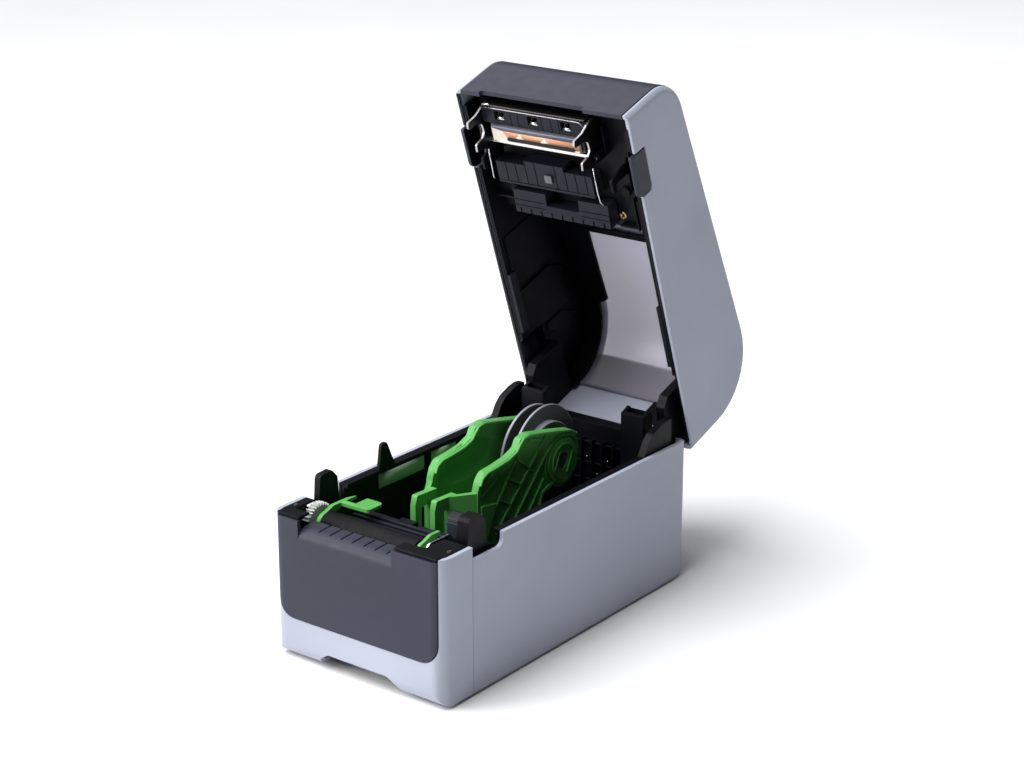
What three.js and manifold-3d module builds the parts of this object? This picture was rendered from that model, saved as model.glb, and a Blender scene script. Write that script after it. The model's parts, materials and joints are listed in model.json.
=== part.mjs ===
// Desktop label maker with a 60 mm wide platen and its lid standing open.
// Millimetres, +X to the right seen from the front, +Y to the rear, +Z up.
// Parts are drawn as they sit with the lid closed. The lid group is then turned open.
import * as THREE from 'three';
import { mergeVertices } from 'three/addons/utils/BufferGeometryUtils.js';
import Module from 'manifold-3d';

const wasm = await Module();
wasm.setup();

// ---- driving dimensions -------------------------------------------------
const HALF_WIDTH = 54.25;
const DEPTH = 211;
const BASE_TOP = 77.5;
const FOOT_DROP = 1.5;
const WALL = 2.4;
const GAP = 0.35;
const CORNER = 7;
const REAR_BOTTOM_RADIUS = 12;
const SEAM_Y = 23.6;
const CENTRE_SHIFT_Y = -132.85;

const HINGE_Y = 206.2;
const HINGE_Z = 68.5;
const OPEN_ANGLE = 70.6;

const LID_BOTTOM = 77.9;
const LID_FRONT = 1.8;
const LID_EDGE = 4;
const LID_REAR = 209;
const LID_CREST_Z = 122.65;
const LID_SLOPE = 0.112;
const CAP_END_Y = 110;
const CAP_HALF = 50.4;

const MEDIA_X = -5.75;
const PLATEN_Y = 21;
const PLATEN_Z = 67.5;
const PLATEN_R = 7;
const PLATEN_LEFT = -35.5;
const PLATEN_RIGHT = 24.5;

const PINION_Y = 95;
const RACK_TEETH = 22;
const ARM_PINION_TEETH = 12;
const ARM_PINION_R = 3.6;
const SPOOL_Y = 155;
const SPOOL_Z = 72;

const HEAD_PIVOT_Y = 29.4;
const HEAD_PIVOT_Z = 78.6;
const LATCH_Y = 38;
const LATCH_Z = 94;

const NOTCH_REAR = 47.9;
const NOTCH_FLOOR = 70.3;

const TOOTH_MODULE = 0.6;
const GEAR_X0 = -44.6;
const GEAR_X1 = -40.4;
const TRAIN_ANGLE = THREE.MathUtils.degToRad(-75);
const PLATEN_TEETH = 32;
const IDLER_TEETH = 48;
const PINION_TEETH = 16;

const SPRING_X = [-27.5, -6.3, 14.5];
const BUTTON_Y = 38;
const FEED_X = 20;
const POWER_X = 36;
const LIGHT_X = 28;

// ---- materials ----------------------------------------------------------
const look = (color, roughness, metalness) =>
  new THREE.MeshStandardMaterial({ color, roughness, metalness });
const lightGrey = () => look(0xc3c7cf, 0.55, 0);
const slateGrey = () => look(0x4e525f, 0.6, 0);
const black = () => look(0x15161b, 0.6, 0);
const green = () => look(0x55b855, 0.5, 0);
const clear = () => look(0xaaa8b8, 0.15, 0);
const steel = () => look(0xb9bbbf, 0.35, 1);
const rubber = () => look(0x1b1b1d, 0.85, 0);
const white = () => look(0xe6e6e4, 0.5, 0);
const ceramic = () => look(0xd8cfb8, 0.5, 0);
const boardGreen = () => look(0x1f6b3a, 0.6, 0);

// ---- solids -------------------------------------------------------------
function solid(geometry) {
  const bare = geometry.clone();
  bare.deleteAttribute('normal');
  bare.deleteAttribute('uv');
  const merged = mergeVertices(bare, 1e-4);
  return new wasm.Manifold(new wasm.Mesh({
    numProp: 3,
    vertProperties: new Float32Array(merged.attributes.position.array),
    triVerts: new Uint32Array(merged.index.array),
  }));
}

function geometryOf(body) {
  const data = body.getMesh();
  const geometry = new THREE.BufferGeometry();
  geometry.setAttribute('position', new THREE.BufferAttribute(data.vertProperties, 3));
  geometry.setIndex(new THREE.BufferAttribute(data.triVerts, 1));
  geometry.computeVertexNormals();
  return geometry;
}

const joined = (...bodies) => bodies.reduce((whole, next) => whole.add(next));
const cut = (body, ...tools) => tools.reduce((whole, tool) => whole.subtract(tool), body);

function block(x0, x1, y0, y1, z0, z1) {
  const box = new THREE.BoxGeometry(x1 - x0, y1 - y0, z1 - z0);
  return solid(box.translate((x0 + x1) / 2, (y0 + y1) / 2, (z0 + z1) / 2));
}

// An outline given as [u, v, radius] corners; each corner is rounded by its radius.
function roundedShape(corners, segments = 5) {
  const count = corners.length;
  const points = [];
  corners.forEach(([u, v, radius = 0], index) => {
    const here = new THREE.Vector2(u, v);
    if (!radius) {
      points.push(here);
      return;
    }
    const [pu, pv] = corners[(index + count - 1) % count];
    const [nu, nv] = corners[(index + 1) % count];
    const back = new THREE.Vector2(pu - u, pv - v).normalize();
    const ahead = new THREE.Vector2(nu - u, nv - v).normalize();
    const half = Math.acos(THREE.MathUtils.clamp(back.dot(ahead), -1, 1)) / 2;
    const reach = radius / Math.sin(half);
    const centre = back.clone().add(ahead).normalize().multiplyScalar(reach).add(here);
    const start = back.clone().multiplyScalar(radius / Math.tan(half)).add(here).sub(centre);
    const end = ahead.clone().multiplyScalar(radius / Math.tan(half)).add(here).sub(centre);
    let turn = end.angle() - start.angle();
    if (turn > Math.PI) turn -= 2 * Math.PI;
    if (turn < -Math.PI) turn += 2 * Math.PI;
    for (let step = 0; step <= segments; step += 1) {
      const spoke = start.clone().rotateAround(new THREE.Vector2(), (turn * step) / segments);
      points.push(spoke.add(centre));
    }
  });
  return new THREE.Shape(points);
}

function extruded(shape, depth) {
  return new THREE.ExtrudeGeometry(shape, { depth, bevelEnabled: false, curveSegments: 16 });
}

// Outline in (y, z), extruded along x.
function alongX(corners, x0, x1, segments = 5) {
  const geometry = extruded(roundedShape(corners, segments), x1 - x0);
  geometry.rotateY(Math.PI / 2).rotateX(Math.PI / 2);
  return solid(geometry.translate(x0, 0, 0));
}

// Outline in (x, z), extruded along y.
function alongY(corners, y0, y1, segments = 5) {
  const geometry = extruded(roundedShape(corners, segments), y1 - y0);
  return solid(geometry.rotateX(Math.PI / 2).translate(0, y1, 0));
}

// Outline in (x, y), extruded along z.
function alongZ(corners, z0, z1, segments = 5) {
  const geometry = extruded(roundedShape(corners, segments), z1 - z0);
  return solid(geometry.translate(0, 0, z0));
}

// Round bar or disc with its axis along x.
function barX(y, z, radius, x0, x1, sides = 20) {
  const bar = new THREE.CylinderGeometry(radius, radius, x1 - x0, sides);
  return solid(bar.rotateZ(Math.PI / 2).translate((x0 + x1) / 2, y, z));
}

function barZ(x, y, radius, z0, z1, sides = 20) {
  const bar = new THREE.CylinderGeometry(radius, radius, z1 - z0, sides);
  return solid(bar.rotateX(Math.PI / 2).translate(x, y, (z0 + z1) / 2));
}

// Corners of a toothed wheel, with one tooth pointing along the angle aim.
function toothCorners(u, v, teeth, rootRadius, tipRadius, aim = 0) {
  const corners = [];
  const levels = [rootRadius, tipRadius, tipRadius, rootRadius];
  const offsets = [-0.27, -0.12, 0.12, 0.27];
  for (let tooth = 0; tooth < teeth; tooth += 1) {
    offsets.forEach((offset, index) => {
      const angle = aim + ((tooth + offset) * 2 * Math.PI) / teeth;
      corners.push([u + levels[index] * Math.cos(angle), v + levels[index] * Math.sin(angle)]);
    });
  }
  return corners;
}

const mirrorPair = (make) => [-1, 1].map(make);

// x of a side, measured outwards from the middle plane or from the media centre.
function spanX(side, near, far, centre = 0) {
  const ends = [centre + side * near, centre + side * far];
  return [Math.min(...ends), Math.max(...ends)];
}

// ---- shared outlines ----------------------------------------------------
function planOutline(inset, y0, y1, frontRadius, rearRadius) {
  const half = HALF_WIDTH - inset;
  return [
    [-half, y0, frontRadius], [half, y0, frontRadius],
    [half, y1, rearRadius], [-half, y1, rearRadius],
  ];
}

function lidProfile(inset, bottom) {
  const front = LID_FRONT + inset;
  const rear = LID_REAR - inset;
  const crest = (y) => LID_CREST_Z + LID_SLOPE * (y - LID_FRONT) - inset;
  return [
    [front, bottom], [rear, bottom],
    [rear, crest(rear), 36 - inset], [front, crest(front), 21 - inset],
  ];
}

const lidBody = (inset, bottom, half) => alongX(lidProfile(inset, bottom), -half, half, 9);

// ---- base ---------------------------------------------------------------
// Rear top corner follows an arc round the hinge, so the lid's edge clears it.
function baseSideProfile() {
  const corners = [[SEAM_Y + GAP, 0], [DEPTH, 0, REAR_BOTTOM_RADIUS]];
  const clearRadius = BASE_TOP - HINGE_Z;
  const steps = 4;
  for (let step = steps; step >= 0; step -= 1) {
    const angle = (Math.asin((DEPTH - HINGE_Y) / clearRadius) * step) / steps;
    corners.push([HINGE_Y + clearRadius * Math.sin(angle), HINGE_Z + clearRadius * Math.cos(angle)]);
  }
  corners.push([SEAM_Y + GAP, BASE_TOP]);
  return corners;
}

function baseShell() {
  const plan = (inset, y0) => alongZ(planOutline(inset, y0, DEPTH - inset, 0, CORNER - inset), -1, 90);
  const outer = alongX(baseSideProfile(), -HALF_WIDTH, HALF_WIDTH).intersect(plan(0, 0));
  const rear = DEPTH - WALL;
  const hollow = alongX([[0, WALL], [rear, WALL, REAR_BOTTOM_RADIUS - WALL], [rear, 90], [0, 90]],
    -HALF_WIDTH + WALL, HALF_WIDTH - WALL).intersect(plan(WALL, -5));
  const notch = alongX([[0, NOTCH_FLOOR], [NOTCH_REAR, NOTCH_FLOOR, 4], [NOTCH_REAR, 90], [0, 90]], -60, 60);
  const reliefs = mirrorPair((side) => block(...spanX(side, 39.9, 47.1), 200, 220, 63.2, 90));
  const flangeRoom = block(-47.1, 47.1, 200, 220, 70.2, 90);
  const jackHole = block(21, 33, 200, 220, 11, 23);
  const usbHole = block(-25, -13, 200, 220, 12, 18);
  return cut(outer, hollow, notch, ...reliefs, flangeRoom, jackHole, usbHole);
}

function frontCover() {
  const top = BASE_TOP - 0.2;
  const outer = alongX([[0, 0, 8], [SEAM_Y, 0], [SEAM_Y, top], [0, top]], -HALF_WIDTH, HALF_WIDTH)
    .intersect(alongZ(planOutline(0, 0, 60, CORNER, 0), -1, 90));
  const hollow = alongZ(planOutline(WALL, WALL, 60, CORNER - WALL, 0), 0, 90)
    .intersect(alongX([[WALL, WALL, 8 - WALL], [60, WALL], [60, 90], [WALL, 90]], -60, 60));
  const opening = alongY([[-51.2, 22.1, 10.4], [51.2, 22.1, 10.4], [51.2, 90], [-51.2, 90]], -5, 7.2, 6);
  const arch = alongY(
    [[-27, -5], [27, -5], [25.5, 4, 5], [19, 8.2, 5], [-19, 8.2, 5], [-25.5, 4, 5]], -5, 12,
  );
  return cut(outer, hollow, opening, arch);
}

// Dark front panel, rolled back at its top into the lip that the label slides over.
function frontPanel() {
  const proud = -0.4;
  const thickness = 2.3;
  const corner = CORNER + 0.2;
  const plan = (inset) => [
    [-HALF_WIDTH + inset, proud + inset, corner - inset],
    [HALF_WIDTH - inset, proud + inset, corner - inset],
    [HALF_WIDTH - inset, 40], [-HALF_WIDTH + inset, 40],
  ];
  const skin = cut(alongZ(plan(0), 0, 90), alongZ(plan(thickness), -5, 95));
  const face = alongY([[-50.8, 22.5, 10], [50.8, 22.5, 10], [50.8, 75.8], [-50.8, 75.8]], -5, 6.2, 6);
  const mouth = block(PLATEN_LEFT - 1, PLATEN_RIGHT - 1, -5, 20, 60, 90);
  const back = proud + thickness;
  const lip = alongX([
    [proud, 60], [proud, 71.2, 6], [12.6, 71.9], [12.6, 69.6], [back + 3, 69], [back, 60],
  ], PLATEN_LEFT - 1, PLATEN_RIGHT - 1, 6);
  const grooves = [];
  for (let index = 0; index < 7; index += 1) {
    const x = -26 + index * 7.25;
    grooves.push(block(x - 0.45, x + 0.45, 3.4, 13, 70.9, 80));
  }
  return cut(joined(cut(skin.intersect(face), mouth), lip), ...grooves);
}

function deckPlate(side) {
  const inner = side < 0 ? -PLATEN_LEFT + 1.2 : PLATEN_RIGHT + 0.2;
  const band = side < 0 ? 46.2 : 37;
  const half = HALF_WIDTH - WALL - GAP;
  const outline = [
    [inner, 0.6], [50.3, 0.9], [50.3, 3], [half, 6, 3], [half, 23.2], [band, 23.2], [band, 9], [inner, 9],
  ].map(([x, y, radius]) => [side * x, y, radius]);
  return alongZ(outline, 76.2, BASE_TOP);
}

// Black lining inside a base wall, with the latch post and the rim under the lid.
function sideFrame(side) {
  const outer = HALF_WIDTH - WALL - GAP;
  const near = side < 0 ? 45.5 : 42.5;
  const wall = block(...spanX(side, outer - 2, outer), 47, 199, 6, 69.8);
  const upper = block(...spanX(side, outer - 2, outer), 49, 199, 69, 77.2);
  const rim = block(...spanX(side, outer - 4.6, outer), 49, 199, 75, 77.2);
  const post = alongX([
    [26, 5], [47.5, 5], [47.5, 70], [41, 72], [40, 85], [36, 89.5, 2], [27, 89, 2.5], [26, 76],
  ], ...spanX(side, near, 49.3));
  const shelf = block(...spanX(side, near, outer), 24.4, 48, 5, 69.8);
  const cheek = alongX([
    [172, 76], [176.9, 84.2, 6], [181.1, 88.1, 6], [189.2, 91.3, 6], [194, 92.2], [198, 92], [198, 76],
  ], ...spanX(side, 46.9, outer - 0.3));
  const frame = joined(wall, upper, rim, post, shelf, cheek);
  if (side > 0) return frame;
  const fin = alongX([[74, 75], [88, 75], [80.6, 91, 1.5], [76.5, 91, 2]], -49.3, -47.3);
  const shaftEar = block(-48.6, -45.9, 12, 25, 56, 74);
  const shaftBore = barX(PLATEN_Y, PLATEN_Z, 3.35, -60, 60, 20);
  const idlerBore = barX(...IDLER_AXIS, 2.75, -47.5, -40, 20);
  return cut(joined(frame, fin, shaftEar), shaftBore, idlerBore);
}

function bayFloor() {
  const plate = block(-49.2, 49.2, 51, 198, 7, 9.5);
  const frontRise = alongX([[51, 9], [58, 9], [51, 44]], -49.2, 49.2);
  const pinionPin = barZ(MEDIA_X, PINION_Y, 1, 9, 13, 16);
  return joined(plate, frontRise, pinionPin);
}

// Rear wall of the roll bay, with the hinge blocks and the two posts that stop the lid.
function rearInnerWall() {
  const wall = block(-49.2, 49.2, 199.4, 202, 7, 62);
  const flange = cut(
    alongX(baseSideProfile(), -38.8, 38.8),
    block(-60, 60, -10, 199.4, -10, 100),
    block(-60, 60, 202, 230, -10, 70.6),
    block(-60, 60, 190, 230, -10, 55),
  );
  const ribs = [];
  for (let index = 0; index < 5; index += 1) {
    const x = -14 + index * 7;
    ribs.push(block(x - 0.6, x + 0.6, 196.6, 200, 40, 68.5));
  }
  return joined(wall, flange, ...ribs, ...mirrorPair(hingeBlock), ...mirrorPair(rearPost));
}

// Block beside the hinge, slotted for the lid's knuckle and bored for the pin.
function hingeBlock(side) {
  const body = block(...spanX(side, 36.8, 49), 196.5, 207.8, 60.5, 72.4);
  const slot = block(...spanX(side, 39.9, 47.1), 190, 220, 62.2, 90);
  return cut(body, slot, barX(HINGE_Y, HINGE_Z, 2, -60, 60, 16));
}

const hingePin = (side) => barX(HINGE_Y, HINGE_Z, 1.6, ...spanX(side, 37, 49), 16);

// Hollow post that guides the cable of the lid.
function rearPost(side) {
  const [x0, x1] = spanX(side, 26, 40.5);
  const body = alongX([
    [187, 10], [200, 10], [200, 60], [195.6, 60], [195.6, 92], [193, 95.5], [187, 93],
  ], x0, x1);
  return cut(body, block(x0 + 1.8, x1 - 1.8, 188.8, 193.8, 60, 100));
}

function guidePlate() {
  const plate = block(-34, 24, 30, 50.5, 60, 66);
  const bars = [33, 37.5, 42].map((y) => block(-34, 24, y, y + 2, 65, 68.4));
  return joined(plate, ...bars);
}

const lowerSensor = () => block(MEDIA_X - 5, MEDIA_X + 5, 44.6, 49.6, 66.35, 68.2);

function switchHousing() {
  const body = block(30.2, 39.6, 33.8, 43.8, 20, 81);
  return joined(body, barX(38.8, 81, 4.5, 30.2, 39.6, 20));
}

// Steel side plate that carries the right end of the platen shaft.
const chassisPlate = () => cut(
  alongX([[13, 20], [33.3, 20], [33.3, 74], [30, 77.3, 1.5], [13, 77.3, 3]], 34, 35.2),
  barX(PLATEN_Y, PLATEN_Z, 3.35, -60, 60, 20),
);

const foot = (side, y) => barZ(side * 42, y, 5, -FOOT_DROP, -0.3, 24);

// The drive train runs in a line from the platen down to the motor.
function trainAxis(distance) {
  return [PLATEN_Y + distance * Math.cos(TRAIN_ANGLE), PLATEN_Z + distance * Math.sin(TRAIN_ANGLE)];
}

const meshDistance = (teethA, teethB) => ((teethA + teethB) * TOOTH_MODULE) / 2 + 0.3;
const IDLER_AXIS = trainAxis(meshDistance(PLATEN_TEETH, IDLER_TEETH));
const MOTOR_AXIS = trainAxis(
  meshDistance(PLATEN_TEETH, IDLER_TEETH) + meshDistance(IDLER_TEETH, PINION_TEETH),
);

function motor() {
  const [y, z] = MOTOR_AXIS;
  const can = barX(y, z, 15, -39, -19, 28);
  return joined(can, barX(y, z, 1.2, -45, -38, 12));
}

const mainBoard = () => block(-45, 45, 108, 194, 3.4, 5);

function powerJack() {
  const body = block(21.4, 32.6, 202.4, 210.6, 11.4, 22.6);
  const bore = new THREE.CylinderGeometry(3.2, 3.2, 14, 20).translate(27, 210.6, 17);
  const pin = new THREE.CylinderGeometry(1, 1, 7, 12).translate(27, 206.9, 17);
  return joined(cut(body, solid(bore)), solid(pin));
}

function usbPort() {
  const body = block(-24.6, -13.4, 202.4, 210.6, 12.4, 17.6);
  const socket = alongY([
    [-23.5, 13.3, 1.5], [-14.5, 13.3, 1.5], [-14.5, 16.7, 1.5], [-23.5, 16.7, 1.5],
  ], 204, 215);
  return joined(cut(body, socket), block(-22, -16, 203, 209.5, 14.6, 15.4));
}

// ---- platen and its drive -----------------------------------------------
const platenRoller = () => cut(
  barX(PLATEN_Y, PLATEN_Z, PLATEN_R, PLATEN_LEFT, PLATEN_RIGHT, 40),
  barX(PLATEN_Y, PLATEN_Z, 3.3, -60, 60, 20),
);

const platenShaft = () => barX(PLATEN_Y, PLATEN_Z, 3, -47.6, 36.6, 20);

function toothedWheel([y, z], teeth, aim) {
  const pitch = (teeth * TOOTH_MODULE) / 2;
  return alongX(toothCorners(y, z, teeth, pitch - 0.85, pitch + 0.5, aim), GEAR_X0, GEAR_X1);
}

const platenGear = () => cut(
  toothedWheel([PLATEN_Y, PLATEN_Z], PLATEN_TEETH, TRAIN_ANGLE),
  barX(PLATEN_Y, PLATEN_Z, 3.35, -60, 60, 20),
);

const idlerGear = () => joined(
  toothedWheel(IDLER_AXIS, IDLER_TEETH, TRAIN_ANGLE + Math.PI + Math.PI / IDLER_TEETH),
  barX(...IDLER_AXIS, 2.4, GEAR_X0 - 2.6, GEAR_X1 + 0.9, 16),
);

const motorPinion = () => cut(
  toothedWheel(MOTOR_AXIS, PINION_TEETH, TRAIN_ANGLE + Math.PI),
  barX(...MOTOR_AXIS, 1.55, -60, 60, 12),
);

function platenLever(side) {
  const [x0, x1] = side < 0 ? [-38.2, -35.9] : [24.9, 27];
  const ring = barX(PLATEN_Y, PLATEN_Z, 6.4, x0, x1, 28);
  const arm = alongX([[20, 72.6], [24, 70.6], [33, 74.1], [33, 75.8], [26, 75.9, 4], [20.5, 73.8]], x0, x1);
  const bore = barX(PLATEN_Y, PLATEN_Z, 3.35, -60, 60, 20);
  if (side > 0) return cut(joined(ring, arm), bore);
  const thumb = alongZ([[x0, 31], [-18, 31.6, 2], [-18, 43.5, 3], [-36, 43.5, 3], [x0, 38]], 74.1, 75.8);
  return cut(joined(ring, arm, thumb), bore);
}

// ---- media holder -------------------------------------------------------
const ARM_OUTLINE = [
  [82.4, 16], [82.4, 76], [84.5, 81.5, 3], [88, 85.2, 4], [98, 86], [108, 87.4, 6], [115.5, 90.2, 3],
  [118, 94.6, 3], [125, 95.8, 6], [148, 91], [163.5, 87.5, 9], [169.5, 79, 9], [168.5, 65, 8],
  [161, 60, 6], [148, 61, 6], [138, 58], [124, 16],
];

// Toothed rail that meshes with the pinion, so that the two arms move together.
function armRack(side) {
  const pitch = (2 * Math.PI * ARM_PINION_R) / ARM_PINION_TEETH;
  const end = MEDIA_X - side * 15 * pitch;
  const nearY = (distance) => PINION_Y - side * distance;
  const corners = [[MEDIA_X + side * 14, nearY(7.4)], [end, nearY(7.4)], [end, nearY(4.6)]];
  for (let tooth = 0; tooth < RACK_TEETH; tooth += 1) {
    const x = end + side * pitch * (tooth + 0.5);
    [[-0.46, 4.6], [-0.2, 3.3], [0.2, 3.3], [0.46, 4.6]].forEach(([along, distance]) => {
      corners.push([x + side * along, nearY(distance)]);
    });
  }
  corners.push([MEDIA_X + side * 14, nearY(4.6)]);
  return alongZ(corners, 10.3, 13);
}

function rollArm(side) {
  const [webIn, webOut, rimIn, rimOut] = [14, 15.4, 12.8, 16.8];
  const within = ARM_OUTLINE.map(([y, z, radius]) => [130 + (y - 130) * 0.95, 74 + (z - 74) * 0.9, radius]);
  const web = alongX(ARM_OUTLINE, ...spanX(side, webIn, webOut, MEDIA_X), 4);
  const rim = cut(
    alongX(ARM_OUTLINE, ...spanX(side, rimIn, rimOut, MEDIA_X), 4),
    alongX(within, -60, 60, 4),
  );
  const boss = barX(SPOOL_Y, SPOOL_Z, 12.5, ...spanX(side, webIn, rimOut + 0.4, MEDIA_X), 32);
  const slider = block(...spanX(side, 5, 15.2, MEDIA_X), 59.4, 123.6, 10, 16.4);
  const guide = alongX([
    [58.8, 11], [58.8, 71], [60.4, 76.2, 1], [76, 75.6], [76, 71.6], [63.8, 68.6], [63.8, 11],
  ], ...spanX(side, 4.6, 8, MEDIA_X));
  const shoulder = alongZ([
    [MEDIA_X + side * 5, 70], [MEDIA_X + side * 8, 70],
    [MEDIA_X + side * 16.6, 82.8], [MEDIA_X + side * 14, 84.6],
  ], 30, 75.6);
  const rack = armRack(side);
  const otherRackY = PINION_Y + side * 5.9;
  const otherRackRoom = block(-60, 60, otherRackY - 2.1, otherRackY + 2.1, 0, 13.6);
  const pinionRoom = block(-60, 60, PINION_Y - 4.4, PINION_Y + 4.4, 0, 13.6);
  const body = cut(joined(web, rim, boss, slider, guide, shoulder), otherRackRoom, pinionRoom);
  return cut(joined(body, rack), barX(SPOOL_Y, SPOOL_Z, 4.4, -60, 60, 20));
}

function coreDisc(side) {
  const radius = side < 0 ? 26.4 : 28;
  const flange = barX(SPOOL_Y, SPOOL_Z, radius, ...spanX(side, 3.4, 5, MEDIA_X), 56);
  const hub = barX(SPOOL_Y, SPOOL_Z, 19.5, ...spanX(side, 4.5, 8.6, MEDIA_X), 48);
  const axle = barX(SPOOL_Y, SPOOL_Z, 4, ...spanX(side, 8, 16.6, MEDIA_X), 20);
  return joined(flange, hub, axle);
}

const armPinion = () => cut(
  alongZ(toothCorners(MEDIA_X, PINION_Y, ARM_PINION_TEETH, 2.75, 4.1), 9.9, 13),
  barZ(MEDIA_X, PINION_Y, 1.35, 0, 20, 16),
);

// ---- lid ----------------------------------------------------------------
// Whole lid as one solid, with its two side edges rounded by LID_EDGE all the way round.
function lidOuter() {
  const shape = roundedShape(lidProfile(0, 40), 9);
  const depth = 2 * (HALF_WIDTH - LID_EDGE);
  const geometry = new THREE.ExtrudeGeometry(shape, {
    depth, bevelEnabled: true, bevelThickness: LID_EDGE, bevelSize: LID_EDGE, bevelOffset: -LID_EDGE,
    bevelSegments: 3, curveSegments: 16,
  });
  geometry.rotateY(Math.PI / 2).rotateX(Math.PI / 2).translate(-depth / 2, 0, 0);
  return solid(geometry).intersect(block(-60, 60, -20, 230, LID_BOTTOM, 200));
}

// Skin of the lid between two depths under its outer surface.
const lidSkin = (outerInset, innerInset, half) =>
  cut(lidBody(outerInset, 20, half), lidBody(innerInset, 0, 60));

function tabOpening(clearance) {
  const [y0, y1] = [SEAM_Y + GAP - clearance, NOTCH_REAR + clearance];
  const top = 86.5 + clearance;
  return mirrorPair((side) => alongX(
    [[y0, 60], [y1, 60], [y1, top, 3], [y0, top, 1]], ...spanX(side, 49.3, 60),
  ));
}

function lidShell() {
  const hollow = lidBody(WALL, 0, HALF_WIDTH - WALL);
  const capRoom = lidBody(-1, 0, CAP_HALF + GAP).intersect(block(-60, 60, -5, CAP_END_Y + GAP, 0, 200));
  const window = alongZ([[-38, 117, 4], [38, 117, 4], [38, 230], [-38, 230]], 108, 160);
  return cut(lidOuter(), hollow, capRoom, window, ...tabOpening(GAP));
}

function lidCap() {
  const skin = lidSkin(0, WALL, CAP_HALF)
    .intersect(block(-60, 60, -5, CAP_END_Y, LID_BOTTOM, 200));
  const mouth = block(-38.6, 26.6, -5, 20, 60, 80);
  const buttons = [FEED_X, POWER_X].map((x) => barZ(x, BUTTON_Y, 4.75, 100, 150, 24));
  return cut(skin, mouth, ...buttons, barZ(LIGHT_X, BUTTON_Y, 1.5, 100, 150, 12));
}

const windowPane = () => lidSkin(WALL + GAP, WALL + GAP + 1.5, 42)
  .intersect(block(-42, 42, 113.5, 230, 104.5, 200));

function windowFrame() {
  const skin = lidSkin(4.6, 6.4, 49.3).intersect(block(-60, 60, 112, 230, 99, 200));
  const opening = alongZ([
    [-30.5, 116], [30.5, 116], [32, 166], [38.8, 170], [38.8, 230], [-38.8, 230], [-38.8, 170], [-32, 166],
  ], 60, 200);
  return cut(skin, opening);
}

// Black lining of a lid side, with the arm that reaches down to its hinge knuckle.
function lidLining(side) {
  const [x0, x1] = spanX(side, 49.65, 51.45);
  const plate = alongX(lidProfile(2.9, LID_BOTTOM + 0.3), x0, x1, 9)
    .intersect(block(-60, 60, 11.4, 203.3, 0, 200));
  const knuckle = barX(HINGE_Y, HINGE_Z, 4.2, ...spanX(side, 40.4, 46.6), 24);
  const arm = alongX([
    [172.6, 75], [177, 70, 3], [203, 65], [HINGE_Y, 66], [HINGE_Y, 98.6], [172.6, 98.6],
  ], ...spanX(side, 41, 46.4));
  const shelf = block(...spanX(side, 41, 51.45), 172.6, 203.3, 96.8, 98.6);
  const bridge = block(...spanX(side, 41, 51.45), 199.6, 203.3, 78.4, 84);
  const cheekRoom = block(...spanX(side, 46.5, 60), 160, 199.2, 60, 96.4);
  const body = joined(cut(joined(plate, shelf), cheekRoom), knuckle, arm, bridge);
  return cut(body, barX(HINGE_Y, HINGE_Z, 2, -60, 60, 16), ...tabOpening(1));
}

function lidChassis() {
  const deck = block(-49.2, 49.2, 11, 76, 88, 90.4);
  const rear = block(-49.2, 49.2, 73.8, 76, 88, 128);
  const postRooms = mirrorPair((side) => block(...spanX(side, 39.6, 60), 33.4, 53, 70, 92));
  const cornerRooms = mirrorPair((side) => block(...spanX(side, 41.8, 60), 21.5, 34, 70, 92));
  const finRoom = block(-60, -46, 71, 92, 60, 93.5);
  const rodEars = [[-41.5, -40.2], [28.9, 30]].map(([x0, x1]) => alongX(
    [[27, 76.3, 1.5], [32, 76.3, 1.5], [32, 89], [27, 89]], x0, x1, 3,
  ));
  const shaftEars = mirrorPair((side) => alongX(
    [[34.6, 97.4, 1.5], [41.4, 97.4, 1.5], [41.4, 89.6], [34.6, 89.6]], ...spanX(side, 37.6, 39), 3,
  ));
  const rodBore = barX(HEAD_PIVOT_Y, HEAD_PIVOT_Z, 1.65, -60, 60, 16);
  const shaftBore = barX(LATCH_Y, LATCH_Z, 2.15, -60, 60, 16);
  const body = cut(joined(deck, rear), ...postRooms, ...cornerRooms, finRoom);
  return cut(joined(body, ...rodEars, ...shaftEars), rodBore, shaftBore);
}

const tearBar = () => block(-38.2, 26.2, 8.6, 9.6, 78.3, 87.6);

// ---- print head ---------------------------------------------------------
// Head carrier: a windowed beam between two forked end plates.
function headBracket() {
  const beam = block(-39, 28, 10, 18.3, 77, 87.4);
  const windows = SPRING_X.map((x) => block(x - 3.2, x + 3.2, 11, 16.4, 70, 90));
  const rodBore = barX(HEAD_PIVOT_Y, HEAD_PIVOT_Z, 1.65, -60, 60, 16);
  return cut(joined(cut(beam, ...windows), ...mirrorPair(headPlate)), rodBore);
}

const headSpring = (x) => barZ(x, 13.7, 2.1, 78.4, 87.6, 16);

const heatSink = () => block(-35, 24, 18.65, 27.3, 77.3, 84);

const thermalHead = () => block(-33, 22, 18.8, 27.1, 74.95, 76.95);

function headPlate(side) {
  const [x0, x1] = side < 0 ? [-39.9, -38.65] : [27.3, 28.5];
  return alongX([
    [9.5, 87.4], [9.5, 79], [12.2, 72], [12.6, 65], [16.4, 63.8, 1.4], [17, 71], [18.6, 75, 2],
    [24, 75.6, 2], [26.2, 73], [27, 67.4, 1], [31, 67], [33.4, 78], [34, 87.4],
  ], x0, x1, 3);
}

const headPivotRod = () => barX(HEAD_PIVOT_Y, HEAD_PIVOT_Z, 1.3, -41.2, 29.8, 16);

function upperGuide() {
  const body = block(-39.5, 22, 43.2, 56, 79.4, 87.6);
  const step = block(-21, 4.5, 40.6, 46, 79.4, 87.6);
  return joined(body, step);
}

const upperSensor = () => block(MEDIA_X - 2.2, MEDIA_X + 2.2, 46.5, 50.9, 78.2, 79.05);

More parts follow.
